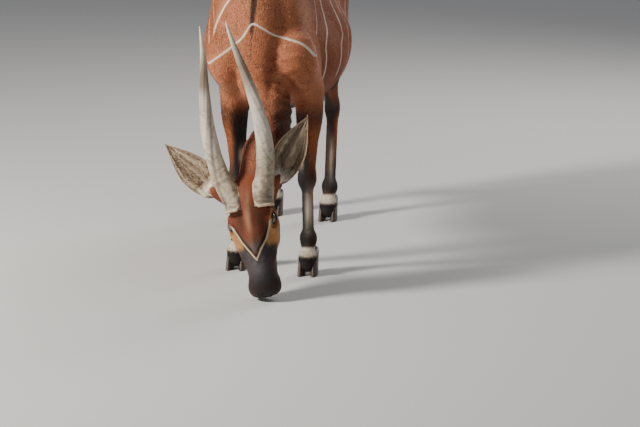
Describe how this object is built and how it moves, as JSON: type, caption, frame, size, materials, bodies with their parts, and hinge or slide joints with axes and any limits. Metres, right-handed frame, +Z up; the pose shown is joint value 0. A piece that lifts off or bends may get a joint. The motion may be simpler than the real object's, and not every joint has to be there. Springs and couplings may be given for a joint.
{
  "type": "bongo antelope figure",
  "caption": "Life-size still figure of a grazing bongo cow: deep barrel on slender legs, head down, long bowed twisted horns, broad ears, crested back and tufted tail.",
  "frame": {"origin": "on the floor, under the middle of the bounding box", "axes": "+Z up, the head towards -Y and the tail towards +Y, the animal's own left towards +X"},
  "size_m": [0.5438, 1.7118, 1.2341],
  "materials": {
    "coat": "matte",
    "horn": "satin",
    "eye": "gloss",
    "hoof": "satin"
  },
  "bodies": {
    "root": {"torso": "coat", "neck": "coat", "head": "coat", "tail": "coat", "horn_left": "horn", "ear_left": "coat", "eye_left": "eye", "horn_right": "horn", "ear_right": "coat", "eye_right": "eye", "forearm_left": "coat", "forefoot_left": "coat", "claw_fore_left_left": "hoof", "claw_fore_left_right": "hoof", "forearm_right": "coat", "forefoot_right": "coat", "claw_fore_right_left": "hoof", "claw_fore_right_right": "hoof", "gaskin_left": "coat", "hindfoot_left": "coat", "claw_hind_left_left": "hoof", "claw_hind_left_right": "hoof", "gaskin_right": "coat", "hindfoot_right": "coat", "claw_hind_right_left": "hoof", "claw_hind_right_right": "hoof"}
  },
  "joints": []
}
